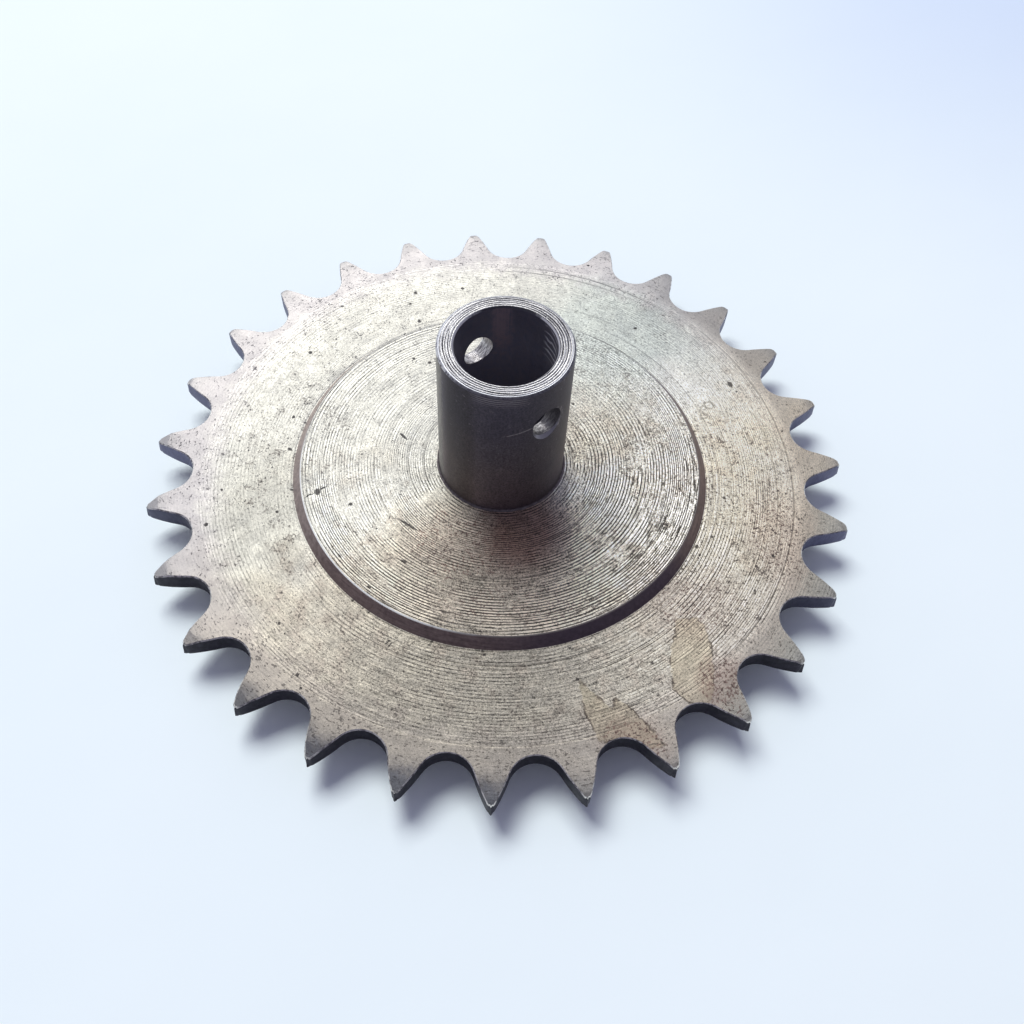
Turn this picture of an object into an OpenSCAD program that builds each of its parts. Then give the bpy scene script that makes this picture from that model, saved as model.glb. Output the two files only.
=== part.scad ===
// Plate sprocket for roller chain: a flat toothed plate with a raised, turned
// centre face, welded on a plain tube hub that is drilled across for a pin.
// Units are millimetres. +Z runs along the bore, towards the long end of the
// tube. z = 0 is the short end of the tube, behind the plate. +X runs along
// the cross hole.

/* [Chain and teeth] */
// number of teeth
teeth = 27; // [25:1:30]
// chain pitch
pitch = 15.875; // [15.5:0.125:16.5]
// diameter of the chain roller
roller_dia = 10.16; // [9.8:0.04:10.4]
// angle of the round seat that the roller lies in, degrees
seat_angle = 128; // [124:1:132]
// radius of the rounded flank outside the seat
flank_radius = 35; // [30:1:40]
// how far the tooth tips stand outside the pitch circle, at the front chamfer
tip_height = 3.63; // [3.2:0.05:3.7]
// how much further the tips reach at the back, from the taper of the cut
tip_taper = 0.4; // [0:0.05:0.5]
// turn of the teeth about the bore, from the cross hole, degrees
tooth_turn = 2; // [0:0.1:13.3]

/* [Plate] */
// thickness of the plate at the rim
rim_thickness = 4.1; // [3.5:0.1:8]
// depth of the turned chamfer on the front of the tooth tips, along the bore
tip_chamfer_depth = 0.9; // [0.5:0.1:1.4]
// width of the turned chamfer on the front of the tooth tips, outwards
tip_chamfer_width = 1.5; // [0.8:0.1:2]
// radius of the raised centre face, at its top edge
step_top_radius = 41.1; // [36:0.1:44]
// how much wider the raised face is where it meets the rim
step_flare = 1.6; // [0.5:0.1:3]
// height of the raised centre face over the rim
step_height = 2.25; // [1:0.25:4]
// small break on the raised face's top edge
step_edge = 0.25; // [0.1:0.05:0.5]

/* [Hub tube] */
// outside diameter of the tube
tube_outer_dia = 25.4; // [24:0.1:30]
// inside diameter of the tube, the shaft bore
tube_inner_dia = 19.05; // [16:0.05:20.5]
// length of tube in front of the rim face
tube_front = 36.2; // [25:0.1:60]
// length of tube behind the plate
tube_rear = 5; // [4.5:0.5:12]
// chamfer on the tube's outer edges
tube_outer_chamfer = 0.4; // [0.2:0.1:0.8]
// chamfer on the bore's edges
tube_inner_chamfer = 0.3; // [0.1:0.05:0.6]

/* [Cross hole] */
// diameter of the hole drilled across the tube
cross_hole_dia = 6.35; // [5:0.05:9]
// how far the hole is drilled to one side of the tube's centre line
cross_hole_offset = 0.6; // [0:0.1:2]
// width of the break drilled into each outer mouth of the hole
cross_hole_break = 0.6; // [0.2:0.1:1]
// distance from the tube's front end to the middle of the cross hole
cross_hole_from_end = 10.1; // [8:0.1:18]

/* [Welds] */
// leg of the seam left around the tube's foot, in front
front_weld_leg = 0.6; // [0.4:0.1:2]
// leg of the fillet weld behind the plate
rear_weld_leg = 3.8; // [2.5:0.1:4.2]

/* [Hidden] */

pitch_radius = pitch / 2 / sin(180 / teeth);
seat_radius = 0.505 * roller_dia;
tip_radius = pitch_radius + tip_height;
tube_r = tube_outer_dia / 2;
bore_r = tube_inner_dia / 2;
back_z = tube_rear;                      // back face of the plate
rim_z = back_z + rim_thickness;          // front face of the rim
disc_z = rim_z + step_height;            // front face of the raised centre
tube_top = rim_z + tube_front;           // front end of the tube
hole_z = tube_top - cross_hole_from_end; // middle of the cross hole

// The space between two teeth, with its middle on +X: a round roller seat,
// opened outwards between two bulging flanks that meet the seat smoothly.
module gullet() {
    a = seat_angle / 2;
    ex = pitch_radius - seat_radius * cos(a);
    ey = seat_radius * sin(a);
    fx = pitch_radius - (seat_radius + flank_radius) * cos(a);
    fy = (seat_radius + flank_radius) * sin(a);
    translate([pitch_radius, 0, back_z - 1])
        cylinder(r = seat_radius, h = rim_thickness + 2, $fn = 72);
    difference() {
        translate([0, 0, back_z - 1]) linear_extrude(rim_thickness + 2)
            polygon([[ex, ey], [pitch_radius + 8, 14], [pitch_radius + 8, -14], [ex, -ey]]);
        for (s = [-1, 1])
            translate([fx, s * fy, back_z - 2])
                cylinder(r = flank_radius, h = rim_thickness + 4, $fn = 360);
    }
}

// the round blank: flat rim with tapered tips, raised centre, bore for the tube
module blank() {
    rotate_extrude($fn = 180) polygon([
        [tube_r, back_z],
        [tip_radius + tip_taper, back_z],
        [tip_radius, rim_z - tip_chamfer_depth],
        [tip_radius - tip_chamfer_width, rim_z],
        [step_top_radius + step_flare, rim_z],
        [step_top_radius, disc_z - step_edge],
        [step_top_radius - step_edge, disc_z],
        [tube_r, disc_z]
    ]);
}

module toothed_plate() {
    color([0.66, 0.63, 0.58])
    difference() {
        blank();
        for (i = [0 : teeth - 1])
            rotate([0, 0, tooth_turn + (i + 0.5) * 360 / teeth]) gullet();
    }
}

module hub_tube() {
    oc = tube_outer_chamfer;
    ic = tube_inner_chamfer;
    color([0.22, 0.22, 0.24])
    difference() {
        rotate_extrude($fn = 120) polygon([
            [bore_r + ic, 0],
            [tube_r - oc, 0],
            [tube_r, oc],
            [tube_r, tube_top - oc],
            [tube_r - oc, tube_top],
            [bore_r + ic, tube_top],
            [bore_r, tube_top - ic],
            [bore_r, ic]
        ]);
        translate([-tube_r - 2, cross_hole_offset, hole_z]) rotate([0, 90, 0])
            cylinder(d = cross_hole_dia, h = 2 * tube_r + 4, $fn = 64);
        // the break at each outer mouth
        translate([tube_r - cross_hole_break - 0.3, cross_hole_offset, hole_z]) rotate([0, 90, 0])
            cylinder(d1 = cross_hole_dia - 0.6, d2 = cross_hole_dia + 2 * cross_hole_break + 2,
                     h = cross_hole_break + 1.3, $fn = 64);
        translate([-tube_r + cross_hole_break + 0.3, cross_hole_offset, hole_z]) rotate([0, -90, 0])
            cylinder(d1 = cross_hole_dia - 0.6, d2 = cross_hole_dia + 2 * cross_hole_break + 2,
                     h = cross_hole_break + 1.3, $fn = 64);
    }
}

// the seam in front, turned down to a small hollow fillet
module front_weld() {
    l = front_weld_leg;
    color([0.5, 0.48, 0.45])
    difference() {
        translate([0, 0, disc_z]) cylinder(r = tube_r + l, h = l, $fn = 120);
        translate([0, 0, disc_z - 1]) cylinder(r = tube_r, h = l + 2, $fn = 120);
        translate([0, 0, disc_z + l]) rotate_extrude($fn = 120)
            translate([tube_r + l, 0]) circle(r = l, $fn = 32);
    }
}

// the fillet weld behind the plate, slightly crowned
module rear_weld() {
    l = rear_weld_leg;
    color([0.36, 0.34, 0.33])
    rotate_extrude($fn = 120) polygon([
        [tube_r, back_z],
        [tube_r, back_z - l],
        [tube_r + 0.62 * l, back_z - 0.62 * l],
        [tube_r + l, back_z]
    ]);
}

toothed_plate();
hub_tube();
front_weld();
rear_weld();
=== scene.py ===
import bpy, bmesh, math
import numpy as np
from mathutils import Matrix, Vector


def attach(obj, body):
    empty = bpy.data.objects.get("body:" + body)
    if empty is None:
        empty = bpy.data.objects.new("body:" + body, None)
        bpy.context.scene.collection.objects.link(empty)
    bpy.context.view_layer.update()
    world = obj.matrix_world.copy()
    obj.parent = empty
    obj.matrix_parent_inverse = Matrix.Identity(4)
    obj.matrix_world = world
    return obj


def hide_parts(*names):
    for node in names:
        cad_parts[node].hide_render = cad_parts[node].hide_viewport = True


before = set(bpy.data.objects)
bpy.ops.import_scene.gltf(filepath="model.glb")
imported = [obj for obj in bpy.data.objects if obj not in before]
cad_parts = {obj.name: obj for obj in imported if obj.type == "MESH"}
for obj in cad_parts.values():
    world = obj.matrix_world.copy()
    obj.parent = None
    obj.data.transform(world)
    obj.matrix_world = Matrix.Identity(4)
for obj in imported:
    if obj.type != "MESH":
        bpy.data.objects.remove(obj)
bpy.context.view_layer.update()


MM = 0.001
rng = np.random.RandomState(27)

# ---------------------------------------------------------------- sizes, in mm, the same as the CAD
TEETH, PITCH, ROLLER = 27, 15.875, 10.16
RP = PITCH / 2 / math.sin(math.pi / TEETH)
SEAT = 0.505 * ROLLER
SEAT_HALF = math.radians(64)
FLANK = 35.0
R_TIP, TAPER = RP + 3.63, 0.4
TURN = math.radians(2.0)
BACK, RIM, STEP_H = 5.0, 9.1, 2.25
DISC = RIM + STEP_H
CH_D, CH_W = 0.9, 1.5
STEP_R, FLARE, STEP_EDGE = 41.1, 1.6, 0.25
TUBE_R, BORE_R, TOP = 12.7, 9.525, 45.3
OC, IC = 0.36, 0.28
HOLE_R, HOLE_Z, HOLE_Y, HOLE_BREAK = 3.175, 45.3 - 10.1, 0.6, 12.1
FACED_R = 61.6
VIEW = math.radians(51.3)      # the photograph's right-hand direction, as an azimuth in this frame


# ---------------------------------------------------------------- camera
def add_camera():
    cam = bpy.data.cameras.new("camera")
    cam.sensor_width = 36
    cam.sensor_fit = "HORIZONTAL"
    cam.lens = 36 * 1053.6 / 1024
    cam.clip_start, cam.clip_end = 0.01, 20
    ob = bpy.data.objects.new("camera", cam)
    bpy.context.scene.collection.objects.link(ob)
    v = Vector((2.5376805570, 0.0510464631, 0.0334192416))
    t = Vector((-0.0325127995, -0.1326653416, 3.0439342697)) * 72.0 * MM
    rm = Matrix.Rotation(v.length, 3, v.normalized())       # world to camera, x right, y down, z forward
    eye = -(rm.transposed() @ t)
    turn = Matrix.Rotation(VIEW, 3, "Z")
    cols = [turn @ Vector(rm[0]), turn @ (-Vector(rm[1])), turn @ (-Vector(rm[2]))]
    rot = Matrix((cols[0], cols[1], cols[2])).transposed()
    eye = turn @ eye + Vector((0, 0, RIM * MM))
    ob.matrix_world = Matrix.Translation(eye) @ rot.to_4x4()
    bpy.context.scene.camera = ob
    return ob


add_camera()


# ---------------------------------------------------------------- mesh helpers
def wave_noise(n, count, lo, hi, seed):
    """A smooth closed curve of n samples from a few random cycles between lo and hi per turn, about -1 to 1."""
    r = np.random.RandomState(seed)
    a = np.arange(n) / n * 2 * np.pi
    out = np.zeros(n)
    for _ in range(count):
        k = r.randint(lo, hi + 1)
        out += np.cos(k * a + r.rand() * 6.2832) * (0.5 + r.rand())
    return out / max(1e-9, np.abs(out).max())


def make_mesh(name, co, faces, sharp=30.0, mats=None):
    me = bpy.data.meshes.new(name)
    me.from_pydata([tuple(map(float, c)) for c in co], [], [tuple(map(int, f)) for f in faces])
    if mats is not None:
        me.polygons.foreach_set("material_index", [int(v) for v in mats])
    bm = bmesh.new()
    bm.from_mesh(me)
    bmesh.ops.remove_doubles(bm, verts=bm.verts, dist=2e-7)
    bmesh.ops.recalc_face_normals(bm, faces=bm.faces)
    bm.to_mesh(me)
    bm.free()
    me.validate()
    me.polygons.foreach_set("use_smooth", [True] * len(me.polygons))
    if sharp:
        me.set_sharp_from_angle(angle=math.radians(sharp))
    ob = bpy.data.objects.new(name, me)
    bpy.context.scene.collection.objects.link(ob)
    return ob


def ring_faces(rings, n, first=0, closed=False):
    """Quads between consecutive rings of n points."""
    a = np.arange(n)
    b = (a + 1) % n
    out = []
    pairs = [(k, k + 1) for k in range(rings - 1)]
    if closed:
        pairs.append((rings - 1, 0))
    for k, m in pairs:
        out.append(np.stack([first + k * n + a, first + k * n + b, first + m * n + b, first + m * n + a], 1))
    return np.concatenate(out)


def smooth01(x, lo, hi):
    t = np.clip((x - lo) / (hi - lo), 0, 1)
    return t * t * (3 - 2 * t)


# ---------------------------------------------------------------- toothed plate
fx = RP - (SEAT + FLANK) * math.cos(SEAT_HALF)
fy = (SEAT + FLANK) * math.sin(SEAT_HALF)
f_d, f_a = math.hypot(fx, fy), math.atan2(fy, fx)


def flank_angle(r):
    c = (r * r + f_d * f_d - FLANK * FLANK) / (2 * r * f_d)
    return f_a - math.acos(c)


def tooth_columns():
    """Angle and flank radius of each column of the plate's mesh, all the way round. The radius is endless on a tip."""
    half = []
    for t in np.linspace(0, SEAT_HALF, 8):
        x, y = RP - SEAT * math.cos(t), SEAT * math.sin(t)
        half.append((math.atan2(y, x), math.hypot(x, y)))
    for r in (67.3, 68.4, 69.5, 70.2, R_TIP - 1.2, R_TIP - 0.75, R_TIP - 0.45, R_TIP - 0.2, R_TIP, R_TIP + TAPER):
        half.append((flank_angle(r), r))
    half.append((math.pi / TEETH, 1e9))
    left = [(-a, r) for a, r in half[:0:-1]][1:]           # without the tip, which the last pitch gave
    one = left + half
    out = []
    for i in range(TEETH):
        c = TURN + (i + 0.5) * 2 * math.pi / TEETH
        out += [(c + a, r) for a, r in one]
    return np.array(out)


def plate():
    cols = tooth_columns()
    n = len(cols)
    ang, rf = cols[:, 0], cols[:, 1]
    ca, sa = np.cos(ang), np.sin(ang)
    az = np.degrees(ang) % 360
    # where the facing cut ran shallow, low on the left of the front view, the tip chamfer is wider
    off = (az - 262 + 180) % 360 - 180
    side = smooth01(off, -52, -30) * (1 - smooth01(off, 40, 58))
    ch_w = CH_W + 1.5 * side * (0.75 + 0.25 * wave_noise(n, 7, 8, 40, 4))
    ch_d = CH_D + 0.10 * side
    # the corners of a tip are rounded over a little
    corner = np.clip((np.minimum(rf, R_TIP + 0.6) - (R_TIP - 0.55)) / 0.55, 0, 1) ** 2
    corner = np.where(rf > R_TIP + 1, 0.0, corner) * 0.22
    lip = 0.035 * np.clip(np.exp(-(((az - 312 + 180) % 360 - 180) / 34.0) ** 2) + 0.25, 0, 1)
    nip = 0.03 * wave_noise(n, 30, 20, 170, 5)

    def top_z(x, y):
        r = np.hypot(x, y)
        a = np.degrees(np.arctan2(y, x)) % 360
        w = np.interp(a, az_s, ch_s)
        d = np.interp(a, az_s, cd_s)
        lp = np.interp(a, az_s, lip_s)
        sd = np.interp(a, az_s, side_s)
        z = np.full_like(r, RIM)
        z -= lp * (1 - smooth01(r, FACED_R - 0.12, FACED_R + 0.12))
        k = np.clip((r - (R_TIP - w)) / w, 0, 1)
        z -= (k * sd + k ** 2.2 * (1 - sd)) * d
        k = np.clip((STEP_R + FLARE - r) / FLARE, 0, 1)
        wall = RIM + (STEP_H - STEP_EDGE) * k
        z = np.where(r < STEP_R + FLARE, np.maximum(wall, z), z)
        # a little hollow at the foot of the step, from the tool's nose
        z -= 0.05 * np.exp(-((r - STEP_R - FLARE - 0.12) / 0.16) ** 2)
        z = np.where(r <= STEP_R, DISC - STEP_EDGE * np.clip((r - (STEP_R - STEP_EDGE)) / STEP_EDGE, 0, 1) ** 1.5, z)
        # coarse grooves near the edge of the raised face, and fainter ones inside
        g = np.where((r > 33) & (r < STEP_R - 0.2), 1.0, 0.0)
        deep = 0.012 + 0.05 * smooth01(r, 37.2, 39.6)
        phase = r / 0.74 + 0.16 * np.sin(np.radians(a) + 1.0)
        groove = 0.5 - 0.5 * np.cos(2 * np.pi * phase)
        z -= g * deep * groove
        return z

    order = np.argsort(az)
    az_s = np.r_[az[order][-1] - 360, az[order], az[order][0] + 360]
    ch_s = np.r_[ch_w[order][-1], ch_w[order], ch_w[order][0]]
    cd_s = np.r_[ch_d[order][-1], ch_d[order], ch_d[order][0]]
    lip_s = np.r_[lip[order][-1], lip[order], lip[order][0]]
    side_s = np.r_[side[order][-1], side[order], side[order][0]]

    rings, mats = [], []

    def put(x, y, z, mat):
        """A ring of the mesh, and the material of the faces that lead on from it."""
        rings.append(np.stack([x, y, z], 1))
        mats.append(mat)

    radii = [TUBE_R, 13.3, 14.5, 16.5, 19, 21.5, 24, 26.5, 29, 31, 33]
    radii += list(np.arange(33.37, 37.3, 0.37))
    radii += list(np.arange(37.37, STEP_R - 0.3, 0.148))
    radii += [STEP_R - STEP_EDGE, STEP_R - STEP_EDGE / 2, STEP_R, STEP_R + FLARE / 2, STEP_R + FLARE,
              STEP_R + FLARE + 0.12, STEP_R + FLARE + 0.28, STEP_R + FLARE + 0.6, 45, 47.5, 50, 52.5, 55, 57.5, 59.5,
              FACED_R - 0.5, FACED_R - 0.13, FACED_R, FACED_R + 0.13, 62.1]
    for r in radii:
        x, y = r * ca, r * sa
        mat = 4 if STEP_R - 0.01 <= r < STEP_R + FLARE - 0.01 else 0
        put(x, y, top_z(x, y), 2 if STEP_R - STEP_EDGE - 0.01 <= r < STEP_R - 0.01 else mat)
    # the outline of the front edge, and a small uneven break inside it
    ro = np.minimum(rf, R_TIP) + nip * 0.5 - corner
    ox, oy = ro * ca, ro * sa
    tx, ty = np.roll(ox, -1) - np.roll(ox, 1), np.roll(oy, -1) - np.roll(oy, 1)
    tl = np.hypot(tx, ty)
    nx, ny = ty / tl, -tx / tl                                # outwards, for columns that run anticlockwise
    brk = 0.17 + 0.05 * wave_noise(n, 24, 10, 150, 8) + 0.05 * side
    ix, iy = ox - nx * brk, oy - ny * brk
    ri, ai = np.hypot(ix, iy), np.arctan2(iy, ix)
    r0 = 62.1
    crease = R_TIP - ch_w
    steps = [0.12, 0.26, 0.4, 0.54, 0.66, 0.76, 0.84, 0.9, 0.96]
    for k, s in enumerate(steps + [1.0]):
        long_r = np.where(s <= 0.76, r0 + (crease - r0) * s / 0.76, crease + (ri - crease) * (s - 0.76) / 0.24)
        short_r = r0 + (ri - r0) * s
        r = np.where(ri > crease, long_r, short_r)
        da = (ai - ang + np.pi) % (2 * np.pi) - np.pi
        a = ang + da * s
        x, y = r * np.cos(a), r * np.sin(a)
        put(x, y, top_z(x, y), 2 if s == 1.0 else 0)
    zo = top_z(ox, oy) - brk
    put(ox, oy, zo, 1)
    # walls, cut a little unevenly from front to back
    for k, f in enumerate((0.2, 0.4, 0.6, 0.8, 0.965)):
        z = zo + (BACK - zo) * f
        tip = R_TIP + TAPER * np.clip((RIM - CH_D - z) / (RIM - CH_D - BACK), 0, 1)
        w = 0.02 * wave_noise(n, 40, 60, 320, 20 + k)
        r = np.minimum(rf, tip) + np.minimum(w + nip * (1 - f), 0.0 if f > 0.7 else 0.02) - corner
        put(r * ca, r * sa, z, 1)
    r = np.minimum(rf, R_TIP + TAPER) - 0.06 - corner
    put(r * ca, r * sa, np.full(n, BACK), 3)
    for s in (0.85, 0.55, 0.25, 0.0):
        q = 62.0 + (r - 62.0) * s
        put(q * ca, q * sa, np.full(n, BACK), 3)
    for q in (55, 45, 35, 25, 19, 16, TUBE_R):
        put(q * ca, q * sa, np.full(n, BACK), 3)
    co = np.concatenate(rings) * MM
    face_mats = np.repeat(mats, n)
    return make_mesh("toothed_plate_turned", co, ring_faces(len(rings), n, closed=True), sharp=20, mats=face_mats)


plate_ob = plate()
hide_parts("toothed_plate")


# ---------------------------------------------------------------- tube
def tube():
    """The tube as rings of quads, with a quad patch round each end of the cross hole."""
    H, NU, NF = 5.2, 24, 60
    us = np.linspace(-H, H, NU + 1)

    def angles(rad):
        e = np.arcsin(us / rad)
        a1 = e[-1]
        fill = np.linspace(a1, math.pi - a1, NF + 1)[1:-1]
        first = list(e) + list(fill)
        return np.array(first + [a + math.pi for a in first])

    ao, ai = angles(TUBE_R), angles(BORE_R)
    n = len(ao)
    zs_hole = HOLE_Z + us
    co, quads, mats = [], [], []

    def add_ring(r, a, z):
        k = len(co)
        r = np.broadcast_to(r, a.shape)
        z = np.broadcast_to(z, a.shape)
        co.extend(np.stack([r * np.cos(a), r * np.sin(a), z], 1).tolist())
        return k

    def join(p, q, m, skip=None):
        for j in range(n):
            if skip is not None and skip(j):
                continue
            j2 = (j + 1) % n
            quads.append((p + j, p + j2, q + j2, q + j))
            mats.append(m)

    per_site = NU + NF

    def in_patch(j):
        return (j % per_site) < NU

    # rows up the outer wall, over the end face, down the bore, and back under the short end
    out_low = [0.0 + OC, 1.5, 4, 7, 10, 13, 16, 19, 22, 25, 27.5]
    out_high = [41.8, 43.2, 44.2, 44.6, 44.78, TOP - OC]
    wob = 0.012 * wave_noise(n, 12, 3, 30, 31)
    ks = []
    for z in out_low:
        ks.append(add_ring(TUBE_R, ao, z))
    hole_rows_o = [add_ring(TUBE_R, ao, z) for z in zs_hole]
    ks += hole_rows_o
    for z in out_high:
        ks.append(add_ring(TUBE_R, ao, z))
    for a, b in zip(ks[:-1], ks[1:]):
        inside = a in hole_rows_o and b in hole_rows_o
        join(a, b, 0, in_patch if inside else None)
    prev = ks[-1]
    # the end face: a turned chamfer, five coarse tool rings, and a thin break at the bore
    radii = [TUBE_R - OC * 0.45, TUBE_R - OC]
    w0, w1 = BORE_R + IC, TUBE_R - OC
    cnt = 30
    fr = [w1 + (w0 - w1) * (k + 1) / cnt for k in range(cnt)]
    k0 = add_ring(TUBE_R - OC * 0.4 + wob * 0.5, ao, TOP - OC * 0.42)
    join(prev, k0, 2)
    prev = k0
    k0 = add_ring(w1, ao, TOP - 0.01)
    join(prev, k0, 2)
    prev = k0
    rr = np.random.RandomState(3)
    ph = rr.rand(8) * 6.28
    for k, r in enumerate(fr):
        s = (k + 1) / cnt
        a = ao + (ai - ao) * s
        groove = 0.5 - 0.5 * np.cos(2 * np.pi * (s * 5.4 + 0.05 * np.sin(a + 1) + 0.1))
        side = 0.6 + 0.4 * np.cos(a - VIEW + math.pi / 2)
        z = TOP - 0.012 - groove * (0.055 * side + 0.01)
        if k == cnt - 1:
            z = np.full(n, TOP - 0.05)
        k0 = add_ring(r, a, z)
        join(prev, k0, 1)
        prev = k0
    k0 = add_ring(BORE_R, ai, TOP - IC - 0.04)
    join(prev, k0, 2)
    prev = k0
    ks = []
    for z in out_high[::-1][1:]:
        ks.append(add_ring(BORE_R, ai, z))
    hole_rows_i = [add_ring(BORE_R, ai, z) for z in zs_hole[::-1]]
    ks += hole_rows_i
    for z in out_low[::-1][:-1]:
        ks.append(add_ring(BORE_R, ai, z))
    join(prev, ks[0], 3)
    for a, b in zip(ks[:-1], ks[1:]):
        inside = a in hole_rows_i and b in hole_rows_i
        join(a, b, 3, in_patch if inside else None)
    low_i = add_ring(BORE_R, ai, 0.35)
    join(ks[-1], low_i, 3)
    low_f = add_ring(BORE_R + 0.3, ai, 0.0)
    join(low_i, low_f, 2)
    prev = low_f
    for s in np.linspace(0, 1, 12)[1:]:
        r = BORE_R + 0.3 + (TUBE_R - OC - BORE_R - 0.3) * s
        k0 = add_ring(r, ai + (ao - ai) * s, 0.0 if s in (0, 1) else 0.02 * (1 + math.sin(s * 19)) / 2)
        join(prev, k0, 1)
        prev = k0
    join(prev, 0, 2)

    # the patches round the cross hole
    pu = list(us[:-1]) + [H] * NU + list(us[:0:-1]) + [-H] * NU
    pv = [-H] * NU + list(us[:-1]) + [H] * NU + list(us[:0:-1])
    pu, pv = np.array(pu), np.array(pv)
    m = len(pu)
    phi = np.arctan2(pv, pu)
    site_rings = []
    for site in (0, 1):
        sgn = 1 if site == 0 else -1
        for rad, rows, wall in ((TUBE_R, hole_rows_o, "o"), (BORE_R, hole_rows_i[::-1], "i")):
            # the boundary, taken from the rows that are already there
            edge = []
            for u, v in zip(pu, pv):
                i = int(round((u + H) / (2 * H) * NU))
                k = int(round((v + H) / (2 * H) * NU))
                edge.append(rows[k] + (site * per_site + i) % n)
            rings = [edge]
            rough = 0.03 * np.cos(3 * phi + site) + 0.025 * np.cos(7 * phi + 2 * site)
            u0 = sgn * HOLE_Y
            # the mouth is opened out by the break drilled into it, and the inner edge is nearly sharp
            wide = np.full(m, 0.6 if wall == "o" else 0.07)
            for _ in range(8):
                if wall == "o":
                    x = np.sqrt(rad * rad - (u0 + (HOLE_R + wide) * np.cos(phi)) ** 2)
                    wide = np.maximum(x - HOLE_BREAK, 0.12)
            for s in (0.35, 0.62, 0.82, 0.93, 1.0):
                rh = HOLE_R + wide + rough * 0.7
                u = pu * (1 - s) + (u0 + rh * np.cos(phi)) * s
                v = pv * (1 - s) + rh * np.sin(phi) * s
                x = np.sqrt(rad * rad - u * u)
                k0 = len(co)
                co.extend(np.stack([sgn * x, sgn * u, HOLE_Z + v], 1).tolist())
                rings.append(list(range(k0, k0 + m)))
            u, v = u0 + HOLE_R * np.cos(phi), HOLE_R * np.sin(phi)
            x = np.sqrt(rad * rad - u * u)
            x = np.minimum(x - 0.1, HOLE_BREAK) if wall == "o" else x + 0.06
            k0 = len(co)
            co.extend(np.stack([sgn * x, sgn * u, HOLE_Z + v], 1).tolist())
            rings.append(list(range(k0, k0 + m)))
            for q, (ra, rb) in enumerate(zip(rings[:-1], rings[1:])):
                mm = (5 if wall == "o" else 2) if q == 5 else (0 if wall == "o" else 3)
                for j in range(m):
                    j2 = (j + 1) % m
                    quads.append((ra[j], ra[j2], rb[j2], rb[j]))
                    mats.append(mm)
            site_rings.append(rings[-1])
        ra, rb = site_rings[-2], site_rings[-1]
        # the drilled wall, in four short steps
        last = ra
        for s in (0.25, 0.5, 0.75):
            k0 = len(co)
            for j in range(m):
                p, q = np.array(co[ra[j]]), np.array(co[rb[j]])
                co.append((p + (q - p) * s).tolist())
            cur = list(range(k0, k0 + m))
            for j in range(m):
                j2 = (j + 1) % m
                quads.append((last[j], last[j2], cur[j2], cur[j]))
                mats.append(4)
            last = cur
        for j in range(m):
            j2 = (j + 1) % m
            quads.append((last[j], last[j2], rb[j2], rb[j]))
            mats.append(4)
    return make_mesh("hub_tube_drilled", np.array(co) * MM, quads, sharp=22, mats=mats)


tube_ob = tube()
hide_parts("hub_tube")


# ---------------------------------------------------------------- weld seams
def front_seam():
    """A thin hollow seam where the front face meets the tube."""
    n = 420
    a = np.arange(n) / n * 2 * math.pi
    leg = 0.5 + 0.09 * wave_noise(n, 16, 3, 40, 41)
    up = 0.5 + 0.09 * wave_noise(n, 16, 3, 40, 42)
    rings = []
    for t in np.linspace(0, 1, 6):
        # a hollow arc from the face out on the disc to the tube's wall
        x = TUBE_R + leg * (1 - math.sin(t * math.pi / 2))
        z = DISC + up * (1 - math.cos(t * math.pi / 2))
        rings.append(np.stack([x * np.cos(a), x * np.sin(a), z], 1))
    rings.append(np.stack([(TUBE_R + 0 * a) * np.cos(a), TUBE_R * np.sin(a), DISC - 0.0 * a], 1))
    faces = ring_faces(len(rings), n, closed=True)
    return make_mesh("front_seam_ring", np.concatenate(rings) * MM, faces, sharp=40)


front_ob = front_seam()
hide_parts("front_weld")


def rear_bead():
    """The bead behind the plate, laid in overlapping ripples, with the lap where the pass closes."""
    n, m = 720, 16
    a = np.arange(n) / n * 2 * math.pi
    L = 3.8
    wide = L * (0.93 + 0.035 * wave_noise(n, 10, 3, 24, 51))
    high = L * (0.93 + 0.035 * wave_noise(n, 10, 3, 24, 52))
    lap = np.exp(-(((np.degrees(a) - 118 + 180) % 360 - 180) / 5.0) ** 2)
    rings = []
    count = 58
    for k in range(m + 1):
        t = k / m
        # from the plate's back face (t = 0) to the tube's wall (t = 1), crowned
        bow = math.sin(math.pi * t)
        x = TUBE_R + wide * (1 - t)
        z = BACK - high * t
        crown = 0.27 * L * bow
        shift = 1.4 * (t - 0.5) ** 2 * 4
        ph = (a * count / (2 * math.pi) + 0.35 * shift + 0.06 * np.sin(5 * a)) % 1.0
        ripple = -0.22 * bow * (ph ** 1.6)
        k1 = crown + ripple + 0.06 * bow * wave_noise(n, 14, 6, 90, 60 + k % 3) - 0.16 * bow * lap
        k1 = np.minimum(k1, 1.06)
        x = x + k1 * 0.70
        z = z - k1 * 0.70
        x = np.clip(x, TUBE_R, TUBE_R + L)
        z = np.clip(z, BACK - L, BACK)
        rings.append(np.stack([x * np.cos(a), x * np.sin(a), z], 1))
    rings.append(np.stack([TUBE_R * np.cos(a), TUBE_R * np.sin(a), BACK + 0 * a], 1))
    faces = ring_faces(len(rings), n, closed=True)
    return make_mesh("rear_bead_laid", np.concatenate(rings) * MM, faces, sharp=35)


rear_ob = rear_bead()
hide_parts("rear_weld")


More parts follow.
